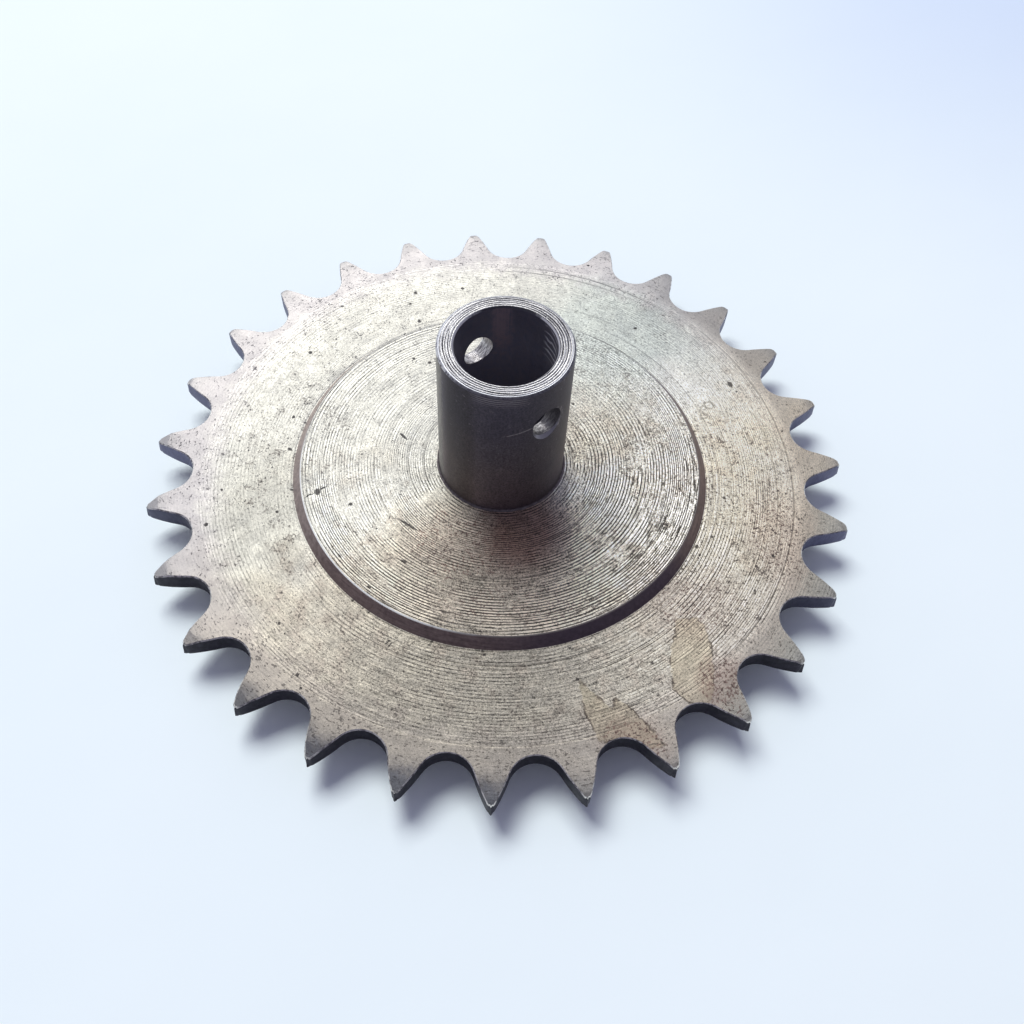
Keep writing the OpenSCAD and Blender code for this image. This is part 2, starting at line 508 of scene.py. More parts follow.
# ---------------------------------------------------------------- shader helpers
class Mat:
    def __init__(self, name):
        self.m = bpy.data.materials.new(name)
        self.m.use_nodes = True
        self.nt = self.m.node_tree
        self.nt.nodes.clear()
        self.out = self.nt.nodes.new("ShaderNodeOutputMaterial")
        self.bsdf = self.nt.nodes.new("ShaderNodeBsdfPrincipled")
        self.nt.links.new(self.bsdf.outputs[0], self.out.inputs[0])

    def new(self, kind, **props):
        node = self.nt.nodes.new(kind)
        for k, v in props.items():
            setattr(node, k, v)
        return node

    def put(self, sock, v):
        if isinstance(v, bpy.types.NodeSocket):
            self.nt.links.new(v, sock)
        elif v is not None:
            sock.default_value = v

    def most(self, *values):
        out = values[0]
        for v in values[1:]:
            out = self.math("MAXIMUM", out, v)
        return out

    def math(self, op, a, b=None, c=None, clamp=False):
        node = self.new("ShaderNodeMath", operation=op, use_clamp=clamp)
        for i, v in enumerate((a, b, c)):
            self.put(node.inputs[i], v)
        return node.outputs[0]

    def add(self, a, b):
        return self.math("ADD", a, b)

    def sub(self, a, b):
        return self.math("SUBTRACT", a, b)

    def mul(self, a, b):
        return self.math("MULTIPLY", a, b)

    def mad(self, a, b, c):
        return self.math("MULTIPLY_ADD", a, b, c)

    def ramp(self, v, lo, hi, a=0.0, b=1.0, smooth=True):
        node = self.new("ShaderNodeMapRange", interpolation_type="SMOOTHSTEP" if smooth else "LINEAR")
        node.clamp = True
        for i, x in enumerate((v, lo, hi, a, b)):
            self.put(node.inputs[i], x)
        return node.outputs[0]

    def vec(self, x, y, z):
        node = self.new("ShaderNodeCombineXYZ")
        for i, v in enumerate((x, y, z)):
            self.put(node.inputs[i], v)
        return node.outputs[0]

    def mix_value(self, f, a, b):
        return self.add(a, self.mul(f, self.sub(b, a)))

    def noise(self, v, scale, detail=2.0, rough=0.5, kind="FBM", dist=0.0):
        node = self.new("ShaderNodeTexNoise", noise_dimensions="3D", noise_type=kind)
        self.put(node.inputs["Vector"], v)
        node.inputs["Scale"].default_value = scale
        node.inputs["Detail"].default_value = detail
        node.inputs["Roughness"].default_value = rough
        node.inputs["Distortion"].default_value = dist
        return node.outputs[0]

    def cells(self, v, scale, rand=1.0, feature="F1"):
        node = self.new("ShaderNodeTexVoronoi", voronoi_dimensions="3D", feature=feature)
        self.put(node.inputs["Vector"], v)
        node.inputs["Scale"].default_value = scale
        node.inputs["Randomness"].default_value = rand
        return node

    def mix(self, f, a, b, kind="MIX"):
        node = self.new("ShaderNodeMix", data_type="RGBA", blend_type=kind)
        node.clamp_factor = True
        self.put(node.inputs[0], f)
        self.put(node.inputs[6], a)
        self.put(node.inputs[7], b)
        return node.outputs[2]

    def place(self):
        """Object coordinates in millimetres: x, y, z, the radius, and the unit direction round the axis."""
        tc = self.new("ShaderNodeTexCoord")
        sc = self.new("ShaderNodeVectorMath", operation="SCALE")
        self.nt.links.new(tc.outputs["Object"], sc.inputs[0])
        sc.inputs["Scale"].default_value = 1000.0
        sp = self.new("ShaderNodeSeparateXYZ")
        self.nt.links.new(sc.outputs[0], sp.inputs[0])
        x, y, z = sp.outputs
        r = self.math("SQRT", self.add(self.mul(x, x), self.mul(y, y)))
        inv = self.math("DIVIDE", 1.0, self.math("MAXIMUM", r, 0.001))
        return sc.outputs[0], x, y, z, r, self.mul(x, inv), self.mul(y, inv)

    def spot(self, x, y, cx, cy, rx, ry, turn=0.0):
        """Distance from a point, in units of the two half sizes, along axes turned by the given degrees."""
        c, s = math.cos(math.radians(turn)), math.sin(math.radians(turn))
        dx, dy = self.sub(x, cx), self.sub(y, cy)
        u = self.add(self.mul(dx, c / rx), self.mul(dy, s / rx))
        v = self.add(self.mul(dx, -s / ry), self.mul(dy, c / ry))
        return self.math("SQRT", self.add(self.mul(u, u), self.mul(v, v)))

    def convex(self, x, y, pts):
        """Signed distance to a convex outline given anticlockwise, more than 0 inside."""
        d = None
        for (ax, ay), (bx, by) in zip(pts, pts[1:] + pts[:1]):
            k = math.hypot(bx - ax, by - ay)
            nx, ny = -(by - ay) / k, (bx - ax) / k
            e = self.add(self.mad(x, nx, -(nx * ax + ny * ay)), self.mul(y, ny))
            d = e if d is None else self.math("MINIMUM", d, e)
        return d

    def stroke(self, x, y, a, b, wide):
        """1 on a stroke from a to b, fading to its sides and ends."""
        cx, cy = (a[0] + b[0]) / 2, (a[1] + b[1]) / 2
        turn = math.degrees(math.atan2(b[1] - a[1], b[0] - a[0]))
        d = self.spot(x, y, cx, cy, math.hypot(b[0] - a[0], b[1] - a[1]) / 2, wide, turn)
        return self.ramp(d, 1.15, 0.6)

    def bump(self, h, dist=0.001, strength=1.0, normal=None):
        node = self.new("ShaderNodeBump")
        node.inputs["Strength"].default_value = strength
        node.inputs["Distance"].default_value = dist
        self.put(node.inputs["Height"], h)
        if normal is not None:
            self.put(node.inputs["Normal"], normal)
        return node.outputs[0]

    def tangent(self):
        node = self.new("ShaderNodeTangent", direction_type="RADIAL", axis="Z")
        return node.outputs[0]

    def set(self, **kw):
        names = dict(base="Base Color", metal="Metallic", rough="Roughness", normal="Normal", aniso="Anisotropic",
                     tangent="Tangent", ior="IOR", coat="Coat Weight", coat_rough="Coat Roughness")
        for k, v in kw.items():
            self.put(self.bsdf.inputs[names[k]], v)


def rgb(r, g, b):
    return (r, g, b, 1.0)


# ---------------------------------------------------------------- materials
def turned_steel():
    m = Mat("turned_steel_face")
    P, x, y, z, r, cx, cy = m.place()

    def rings(k, turn, detail=2.0, rough=0.5):
        return m.noise(m.vec(m.mul(r, k), m.mul(cx, turn), m.mul(cy, turn)), 1.0, detail, rough)

    def marks(step, warp, seed, turn):
        """Feed marks one step apart, with the step drifting a little, and stronger in some places than in others."""
        amp = m.ramp(rings(0.16, turn, 2.0), 0.36, 0.60, 0.10, 1.0)
        wave = m.math("SINE", m.add(m.mul(r, 2 * math.pi / step), m.mad(drift, warp, seed)))
        return m.mul(m.sub(0.34, m.ramp(wave, 0.05, 0.95)), amp)

    drift = rings(0.22, 0.12, 1.0)
    wide = rings(0.8, 0.35, 2.0)                        # wider bands, where the tool was moved or chattered
    loose = rings(2.6, 1.6, 2.0, 0.6)
    dash = rings(2.6, 62.0, 2.0, 0.62)                  # short torn dashes along the cut
    long = rings(3.0, 12.0, 2.0, 0.6)
    grain = m.noise(P, 4.6, 2.0, 0.7)
    patch = m.noise(P, 0.045, 3.0, 0.55)
    mottle = m.noise(P, 0.30, 4.0, 0.62)
    flecks = m.noise(P, 1.9, 3.0, 0.62)
    # one feed after another as the tool crosses the face
    feed = rings(0.11, 0.5, 1.0)
    lo, hi = m.ramp(feed, 0.47, 0.42), m.ramp(feed, 0.56, 0.61)
    mid = m.sub(1.0, m.add(lo, hi))
    cut = m.add(m.mul(marks(0.445, 9.0, 0.0, 2.6), m.mad(lo, 1.5, 0.25)), m.mul(marks(0.60, 7.0, 1.0, 4.2), m.mad(mid, 1.5, 0.3)))
    cut = m.mad(marks(0.735, 5.0, 2.0, 3.4), m.mad(hi, 1.6, 0.2), cut)

    fine = m.noise(P, 2.7, 2.0, 0.7)
    on_disc = m.ramp(r, STEP_R + 0.4, STEP_R - 0.4)
    faced = m.ramp(m.add(r, m.mul(m.sub(mottle, 0.5), 1.6)), FACED_R + 0.45, FACED_R - 0.45, 0.22, 1.0)
    # directions in the front view: to the right, and away
    right = m.add(m.mul(x, math.cos(VIEW)), m.mul(y, math.sin(VIEW)))
    away = m.add(m.mul(x, -math.sin(VIEW)), m.mul(y, math.cos(VIEW)))

    # painted light on the marks: they are painted with more contrast towards the near right, where they flash, and
    # fainter towards the far left, under the sheen
    mark_flash = m.ramp(m.mad(away, -0.9, right), -42.0, 50.0, 0.46, 1.95)
    mark_flash = m.mul(mark_flash, m.mad(m.mul(on_disc, m.ramp(right, 2.0, 26.0)), 1.0, 1.0))
    # at the far right of the raised face the marks are worn down to a grain, with dark specks
    dimmed = m.mul(m.mul(on_disc, m.ramp(m.mad(m.sub(mottle, 0.5), 10.0, away), -6.0, 17.0)), m.ramp(right, -6.0, 12.0))
    mark_flash = m.mul(mark_flash, m.mad(dimmed, -0.78, 1.0))
    mark_flash = m.mul(mark_flash, m.ramp(away, -60.0, -42.0, 0.85, 1.0))
    outer = m.mul(on_disc, m.ramp(r, 32.0, 37.0))
    # round the right of the rim the marks are worn down to a fine grain
    fade = m.mul(m.mul(m.sub(1.0, on_disc), m.ramp(right, 6.0, 34.0)), m.ramp(away, -24.0, 10.0))
    mark_flash = m.mul(mark_flash, m.mad(fade, -0.50, 1.0))
    calm = m.mul(m.ramp(m.spot(right, away, 0.0, -56.0, 44.0, 22.0), 1.2, 0.6), m.sub(1.0, on_disc))

    # colour: cream where it is clean, brown where it has begun to rust, a cool green-grey bloom at the far side
    near = m.add(m.mad(away, -0.012, 0.42), m.add(m.mul(right, 0.0060), m.mul(m.sub(patch, 0.5), 1.3)))
    base = m.mix(m.ramp(near, 0.15, 0.85), rgb(0.705, 0.680, 0.580), rgb(0.640, 0.575, 0.440))
    bloom = m.ramp(m.add(m.mul(m.spot(right, away, 24.0, 40.0, 34.0, 24.0), -1.0), m.mul(patch, 1.6)), -0.15, 0.5)
    base = m.mix(m.mul(bloom, 0.7), base, rgb(0.585, 0.625, 0.545))
    rust = m.mul(m.ramp(m.add(m.mul(mottle, 0.75), m.mul(patch, 0.45)), 0.60, 0.76), m.ramp(m.mad(right, -0.4, away), 28.0, -16.0, 0.12, 1.0))
    base = m.mix(m.mul(rust, 0.45), base, rgb(0.490, 0.395, 0.305))
    # a band along the tooth roots, lavender at the far left and a pinkish brown to the right and near side
    band = m.mul(m.ramp(m.add(r, m.mul(m.sub(mottle, 0.5), 10.0)), 55.0, 63.5), 0.72)
    tint = m.mix(m.ramp(m.mad(right, -0.8, away), 42.0, -22.0), rgb(0.655, 0.605, 0.580), rgb(0.540, 0.475, 0.385))
    base = m.mix(band, base, tint)
    # brown speckled places near the tooth roots, low on the right
    rusty = None
    for cx0, cy0, rx, ry, amount in ((43.0, -47.5, 6.0, 7.5, 0.9), (38.0, -31.0, 13.0, 10.0, 0.45), (26.0, -59.0, 8.0, 6.0, 0.7),
                                     (56.0, -14.0, 8.0, 15.0, 0.5), (-6.0, -21.0, 15.0, 12.0, 0.5), (2.0, -34.0, 26.0, 7.0, 0.35)):
        d = m.mad(m.sub(mottle, 0.5), 1.2, m.spot(right, away, cx0, cy0, rx, ry))
        d = m.mul(m.ramp(d, 1.15, 0.35), amount)
        rusty = d if rusty is None else m.math("MAXIMUM", rusty, d)
    base = m.mix(rusty, base, rgb(0.500, 0.405, 0.315))
    # a warmer tint and painted light on the right of the rim
    warm_lit = m.mul(m.ramp(m.spot(right, away, 58.0, 2.0, 26.0, 40.0), 1.1, 0.4), m.sub(1.0, on_disc))
    base = m.mix(warm_lit, base, rgb(1.0, 0.975, 0.92), "MULTIPLY")
    base = m.mix(m.ramp(m.spot(right, away, -47.0, -15.0, 12.0, 21.0), 1.15, 0.4), base, rgb(0.90, 0.895, 0.87), "MULTIPLY")
    warm_light_tone = m.mad(warm_lit, 0.12, 1.0)
    # greenish grey on the right-hand tips
    moss = m.mul(m.ramp(m.spot(right, away, 58.0, -30.0, 26.0, 34.0), 1.2, 0.7),
                 m.ramp(m.mad(m.sub(mottle, 0.5), 8.0, r), 63.0, 69.0))
    base = m.mix(m.mul(moss, 0.6), base, rgb(0.440, 0.430, 0.350))

    # broad painted light and shade: lighter to the right, darker in front, lighter and darker spots, and a painted
    # shadow and reflection of the tube, dark and brown, at its foot on the near side
    tone = m.mad(m.mul(m.ramp(right, 5.0, 46.0), m.ramp(away, 48.0, 14.0)), 0.42, 1.0)
    tone = m.mul(tone, m.mad(m.mul(on_disc, m.ramp(m.spot(right, away, 34.0, -16.0, 14.0, 22.0), 1.2, 0.4)), 0.28, 1.0))
    tone = m.mul(tone, m.ramp(m.spot(right, away, -6.0, -50.0, 28.0, 20.0), 1.15, 0.3, 1.0, 0.77))
    tone = m.mul(tone, m.ramp(m.spot(right, away, 20.0, -54.0, 26.0, 16.0), 1.2, 0.3, 1.0, 0.92))
    tone = m.mul(tone, m.ramp(m.spot(right, away, -8.0, -29.0, 12.0, 9.0), 1.2, 0.3, 1.0, 0.91))
    # the right-hand teeth are darker
    tone = m.mul(tone, m.ramp(m.mul(m.ramp(r, 60.0, 65.0), m.ramp(right, 20.0, 48.0)), 0.0, 1.0, 1.0, 0.74))
    tone = m.mul(tone, m.ramp(m.spot(right, away, -42.0, -42.0, 14.0, 13.0), 1.15, 0.3, 1.0, 1.10))
    tone = m.mul(tone, m.ramp(m.spot(right, away, 2.0, -27.0, 18.0, 10.0), 1.2, 0.3, 1.0, 0.80))
    tone = m.mul(tone, m.ramp(m.spot(right, away, -26.0, -14.0, 14.0, 18.0), 1.1, 0.3, 1.0, 1.16))
    # painted shadow and reflection of the tube on the face in front of its foot
    d = m.mad(m.sub(mottle, 0.5), 0.5, m.spot(right, away, 5.0, -17.0, 10.0, 13.0))
    tube_shadow_paint = m.ramp(d, 1.25, 0.35)
    tone = m.mul(tone, warm_light_tone)
    base = m.mix(1.0, base, m.mix(tube_shadow_paint, m.vec(tone, tone, tone), rgb(0.45, 0.34, 0.33)), "MULTIPLY")

    # low on the left the tooth tips are grey and grimy
    low = m.spot(right, away, -24.0, -68.0, 46.0, 26.0)
    grime = m.mul(m.ramp(low, 1.2, 0.5), m.ramp(m.add(r, m.mul(m.sub(mottle, 0.5), 7.0)), 64.0, 70.5))
    base = m.mix(m.mul(grime, 0.94), base, rgb(0.082, 0.084, 0.102))
    tips = m.mul(m.ramp(m.add(r, m.mul(m.sub(mottle, 0.5), 5.0)), 67.0, 71.5), 0.35)
    base = m.mix(tips, base, rgb(0.320, 0.320, 0.300))

    # tone of the cut
    strong = m.mul(m.mul(faced, m.mad(on_disc, 0.45, 0.70)), m.mul(mark_flash, m.mad(outer, 0.7, 1.0)))
    strong = m.mul(strong, m.mad(calm, -0.27, 1.0))
    spread = m.mul(m.mul(m.mad(mark_flash, 0.8, 0.22), m.mad(on_disc, 0.45, 0.80)), m.ramp(r, 58.0, 64.0, 1.0, 0.5))
    spread = m.mul(spread, m.mad(dimmed, 1.7, m.mad(calm, 0.30, 1.0)))
    shade = m.mad(m.mul(cut, m.mad(calm, -0.16, 0.50)), strong, 1.0)
    shade = m.mad(m.mul(m.sub(wide, 0.5), 0.28), faced, shade)
    shade = m.mad(m.mul(m.sub(loose, 0.5), 0.4), strong, shade)
    shade = m.mad(m.mul(m.sub(long, 0.5), m.mad(calm, 0.9, 1.25)), strong, shade)
    shade = m.mad(m.mul(m.sub(fine, 0.5), 1.15), spread, shade)
    shade = m.mad(m.mul(m.sub(grain, 0.5), m.mad(fade, 1.6, 1.3)), spread, shade)
    shade = m.mad(m.mul(m.sub(fine, 0.5), m.mul(fade, 1.0)), spread, shade)
    shade = m.mad(m.mul(m.sub(dash, 0.5), 1.4), faced, shade)
    shade = m.math("MINIMUM", m.math("MAXIMUM", shade, 0.10), 1.85)
    # under the old film the cut shows less
    sd = None
    wx = m.mad(m.sub(m.noise(P, 0.45, 3.0, 0.6), 0.5), 2.2, x)
    wy = m.mad(m.sub(m.noise(m.vec(y, z, x), 0.45, 3.0, 0.6), 0.5), 2.2, y)
    for ring in ([(48.3, 5.6), (54.2, -1.3), (59.1, -4.9), (62.6, -4.4), (65.4, -1.6), (63.6, 1.3), (58.7, 5.5), (53.8, 8.8), (50.6, 9.1)],
                 [(47.2, -17.6), (53.8, -21.0), (58.7, -22.4), (60.7, -19.0), (56.4, -16.0)],
                 [(53.6, -13.4), (55.6, -17.0), (59.9, -20.3), (64.4, -17.3), (66.4, -12.7), (62.3, -12.0), (58.0, -13.3)]):
        k = m.convex(wx, wy, ring)
        sd = k if sd is None else m.math("MAXIMUM", sd, k)
    film = m.ramp(sd, -0.05, 0.25)
    shade = m.mix_value(m.mul(film, 0.22), shade, 0.93)
    base = m.mix(1.0, base, m.vec(shade, shade, shade), "MULTIPLY")

    # two stains of an old clear coat, low on the right, browner than the steel and with darker borders
    rim = m.mul(m.ramp(m.math("ABSOLUTE", m.sub(sd, 0.05)), 0.28, 0.08), m.ramp(mottle, 0.45, 0.56))
    base = m.mix(m.mul(film, 0.95), base, rgb(0.800, 0.765, 0.700), "MULTIPLY")
    base = m.mix(m.mul(rim, 0.8), base, rgb(0.13, 0.10, 0.07))

    # thin dark scored rings, torn flecks, notches along the foot of the step, and a few deeper pits
    scored = m.mul(m.mul(m.ramp(rings(1.25, 0.5, 1.0), 0.67, 0.74), faced), m.ramp(right, -50.0, 20.0, 0.2, 1.0))
    # torn flecks and specks show more where the painted light on the marks is stronger
    fleck_bias = m.mul(m.sub(mark_flash, 1.2), 0.018)
    torn = m.ramp(m.add(m.mad(m.sub(patch, 0.5), 0.2, dash), fleck_bias), 0.615, 0.69)
    speck = m.ramp(m.add(m.mad(m.sub(mottle, 0.5), 0.40, flecks), fleck_bias), 0.635, 0.69)
    foot = m.mul(m.ramp(m.math("ABSOLUTE", m.sub(r, STEP_R + FLARE + 0.25)), 0.45, 0.1),
                 m.ramp(m.noise(m.vec(m.mul(cx, 30.0), m.mul(cy, 30.0), 0.0), 1.0, 1.0), 0.66, 0.72))
    pc = m.cells(P, 0.36)
    pcol = m.new("ShaderNodeSeparateColor")
    m.nt.links.new(pc.outputs["Color"], pcol.inputs[0])
    size = m.ramp(pcol.outputs[0], 0.80, 1.0, 0.02, 0.135, smooth=False)
    edge = m.mad(m.sub(grain, 0.5), 0.22, m.mad(m.sub(flecks, 0.5), 0.2, pc.outputs["Distance"]))
    pit = m.mul(m.ramp(m.sub(edge, size), 0.03, -0.015), m.math("GREATER_THAN", pcol.outputs[0], 0.80))
    jx = m.mad(m.sub(flecks, 0.5), 0.9, x)
    jy = m.mad(m.sub(grain, 0.5), 0.6, y)
    marks_at = [((-15.6, -34.4), (-14.0, -35.2), 0.62), ((-15.2, -37.6), (-14.9, -35.2), 0.16),
                ((-15.0, -34.4), (-14.9, -32.4), 0.20), ((-18.0, -13.1), (-15.4, -12.8), 0.26),
                ((-0.3, -25.4), (4.9, -23.7), 0.28), ((8.3, -30.2), (9.6, -29.6), 0.35),
                ((20.7, -42.1), (20.4, -40.7), 0.16), ((21.4, -42.0), (21.1, -40.8), 0.13),
                ((-29.6, -33.4), (-28.6, -33.0), 0.35), ((-52.8, 14.1), (-51.8, 14.1), 0.40),
                ((-44.8, 9.9), (-43.7, 9.4), 0.40), ((4.9, 13.8), (5.6, 13.8), 0.34),
                ((10.4, 55.4), (12.4, 54.9), 0.60), ((0.1, -39.2), (1.2, -39.2), 0.26),
                ((9.3, -38.6), (10.3, -38.2), 0.30), ((38.3, 20.0), (39.1, 19.5), 0.50),
                ((40.2, 19.1), (40.9, 18.7), 0.34), ((46.8, 3.2), (47.6, 3.9), 0.22),
                ((52.6, 22.4), (53.6, 21.4), 0.24), ((49.0, 30.5), (49.8, 30.9), 0.40)]
    hit = None
    for p, q, wdt in marks_at:
        k = m.stroke(jx, jy, p, q, wdt)
        hit = k if hit is None else m.math("MAXIMUM", hit, k)
    for cx0, cy0, rr in ((13.1, 47.1, 0.95), (14.7, 44.1, 0.75), (13.0, 45.6, 0.5)):
        k = m.ramp(m.math("ABSOLUTE", m.sub(m.spot(jx, jy, cx0, cy0, rr, rr), 1.0)), 0.42, 0.15)
        hit = m.math("MAXIMUM", hit, m.mul(k, 0.5))
    spots = m.mul(m.ramp(m.mad(rusty, 0.10, flecks), 0.60, 0.66), m.ramp(rusty, 0.1, 0.45))
    base = m.mix(m.mul(spots, 0.7), base, rgb(0.200, 0.110, 0.085))
    chips = m.ramp(m.spot(right, away, 46.0, -10.0, 22.0, 34.0), 1.15, 0.5)
    chips = m.math("MAXIMUM", chips, m.mul(m.ramp(m.spot(right, away, -42.0, 0.0, 16.0, 28.0), 1.15, 0.5), 0.75))
    chips = m.math("MAXIMUM", chips, m.mul(dimmed, 0.7))
    bits = m.add(m.noise(P, 1.5, 4.0, 0.70), m.mul(m.sub(mottle, 0.5), 0.26))
    chips = m.mul(m.ramp(bits, 0.575, 0.615), chips)
    base = m.mix(m.mul(chips, 0.85), base, rgb(0.080, 0.058, 0.050))
    dark = m.most(m.mul(torn, 0.7), m.mul(speck, 0.7), pit, hit, m.mul(scored, 0.5), foot)
    base = m.mix(m.mul(dark, 0.85), base, rgb(0.050, 0.043, 0.040))

    h = m.mul(cut, m.mul(strong, 0.009))
    h = m.mad(m.sub(wide, 0.5), m.mul(faced, 0.045), h)
    h = m.mad(m.sub(loose, 0.5), m.mul(strong, 0.025), h)
    h = m.mad(m.sub(dash, 0.5), 0.02, h)
    h = m.mad(m.sub(grain, 0.5), m.mul(spread, 0.012), h)
    h = m.mad(m.sub(fine, 0.5), m.mul(spread, 0.02), h)
    h = m.mad(dark, -0.05, h)
    h = m.mad(m.sub(patch, 0.5), 1.2, h)
    h = m.mad(film, 0.02, h)
    rough = m.mad(m.sub(mottle, 0.5), 0.2, 0.46)
    rough = m.mad(m.sub(1.0, faced), 0.06, rough)
    rough = m.mad(dark, 0.25, rough)
    metal = m.mad(grime, -0.2, m.mad(rust, -0.15, m.mad(film, -0.2, 0.60)))
    m.set(base=base, metal=metal, rough=rough, normal=m.bump(h), aniso=0.35, tangent=m.tangent())
    return m.m


def wall_steel(name, a, b, rough=0.5, metal=0.85, side=None):
    m = Mat(name)
    P, x, y, z, r, cx, cy = m.place()
    n1 = m.noise(P, 0.8, 4.0, 0.6)
    lay = m.noise(m.vec(x, y, m.mul(z, 0.25)), 2.4, 3.0, 0.6)
    base = m.mix(m.ramp(n1, 0.32, 0.68), a, b)
    if side:
        # painted light: bluer and lighter round the far side
        turn = m.add(m.mul(cx, math.cos(math.radians(136))), m.mul(cy, math.sin(math.radians(136))))
        base = m.mix(m.mul(m.ramp(turn, -0.50, -0.08), 0.95), base, side)
    s = m.mad(lay, 0.8, 0.6)
    base = m.mix(1.0, base, m.vec(s, s, s), "MULTIPLY")
    h = m.mad(m.sub(lay, 0.5), 0.02, m.mul(m.sub(n1, 0.5), 0.03))
    m.set(base=base, metal=metal, rough=m.mad(n1, 0.2, rough - 0.1), normal=m.bump(h))
    return m.m


def step_steel():
    m = Mat("turned_steel_step")
    P, x, y, z, r, cx, cy = m.place()
    n1 = m.noise(m.vec(m.mul(z, 3.0), m.mul(cx, 9.0), m.mul(cy, 9.0)), 1.0, 3.0, 0.6)
    n2 = m.noise(P, 1.2, 3.0, 0.6)
    base = m.mix(m.ramp(n1, 0.3, 0.7), rgb(0.280, 0.210, 0.185), rgb(0.195, 0.142, 0.130))
    # painted light and shade: lighter on the left, dark and violet on the right
    left = m.add(m.mul(cx, math.cos(math.radians(225))), m.mul(cy, math.sin(math.radians(225))))
    left = m.ramp(m.mad(m.sub(n2, 0.5), 0.12, left), 0.70, 0.99, smooth=False)
    base = m.mix(left, base, rgb(0.51, 0.42, 0.375))
    dark = m.mul(m.ramp(cx, 0.72, 0.97), m.ramp(cy, 0.5, 0.2))
    base = m.mix(dark, base, rgb(0.115, 0.088, 0.105))
    s = m.mad(m.sub(n2, 0.5), 0.9, 1.0)
    base = m.mix(1.0, base, m.vec(s, s, s), "MULTIPLY")
    h = m.mad(m.sub(n2, 0.5), 0.03, m.mul(m.sub(n1, 0.5), 0.03))
    m.set(base=base, metal=0.7, rough=0.44, normal=m.bump(h))
    return m.m


def edge_steel():
    m = Mat("turned_steel_edge")
    P, x, y, z, r, cx, cy = m.place()
    n1 = m.noise(P, 1.6, 3.0, 0.6)
    n2 = m.noise(P, 0.35, 2.0, 0.6)
    bright = m.mix(m.ramp(m.mad(m.sub(n2, 0.5), 0.8, n1), 0.40, 0.62), rgb(0.80, 0.76, 0.69), rgb(0.26, 0.24, 0.235))
    # painted highlight and shade: the corner of the raised face is painted bright from the left round to the front, and
    # dark elsewhere
    lit = m.add(m.mul(cx, math.cos(math.radians(268))), m.mul(cy, math.sin(math.radians(268))))
    lit = m.ramp(m.mad(m.sub(n2, 0.5), 0.2, lit), 0.62, 0.90)
    corner = m.mix(lit, rgb(0.20, 0.17, 0.155), rgb(0.99, 0.97, 0.91))
    base = m.mix(m.ramp(r, 52.0, 50.0), bright, corner)
    m.set(base=base, metal=m.ramp(r, 50.0, 52.0, 0.12, 0.85), rough=0.36, normal=m.bump(m.mul(m.sub(n1, 0.5), 0.02)))
    return m.m


def back_steel():
    m = Mat("turned_steel_back")
    P, x, y, z, r, cx, cy = m.place()
    fine = m.noise(m.vec(m.mul(r, 1.6), m.mul(cx, 1.0), m.mul(cy, 1.0)), 1.0, 3.0, 0.6)
    patch = m.noise(P, 0.08, 4.0, 0.6)
    grain = m.noise(P, 2.5, 3.0, 0.6)
    base = m.mix(m.ramp(patch, 0.35, 0.65), rgb(0.56, 0.53, 0.48), rgb(0.40, 0.375, 0.345))
    # heat tint round the weld: straw, then blue
    ring = m.add(r, m.mul(m.sub(patch, 0.5), 3.0))
    base = m.mix(m.mul(m.ramp(ring, 24.0, 20.5), 0.55), base, rgb(0.40, 0.27, 0.13))
    base = m.mix(m.mul(m.ramp(ring, 20.5, 18.5), 0.75), base, rgb(0.11, 0.13, 0.24))
    base = m.mix(m.mul(m.ramp(ring, 18.6, 16.6), 0.7), base, rgb(0.09, 0.085, 0.09))
    s = m.add(1.0, m.add(m.mul(m.sub(fine, 0.5), 0.6), m.mul(m.sub(grain, 0.5), 0.5)))
    base = m.mix(1.0, base, m.vec(s, s, s), "MULTIPLY")
    h = m.add(m.mul(m.sub(fine, 0.5), 0.03), m.mul(m.sub(grain, 0.5), 0.012))
    m.set(base=base, metal=0.75, rough=m.mad(patch, 0.2, 0.36), normal=m.bump(h), aniso=0.4, tangent=m.tangent())
    return m.m


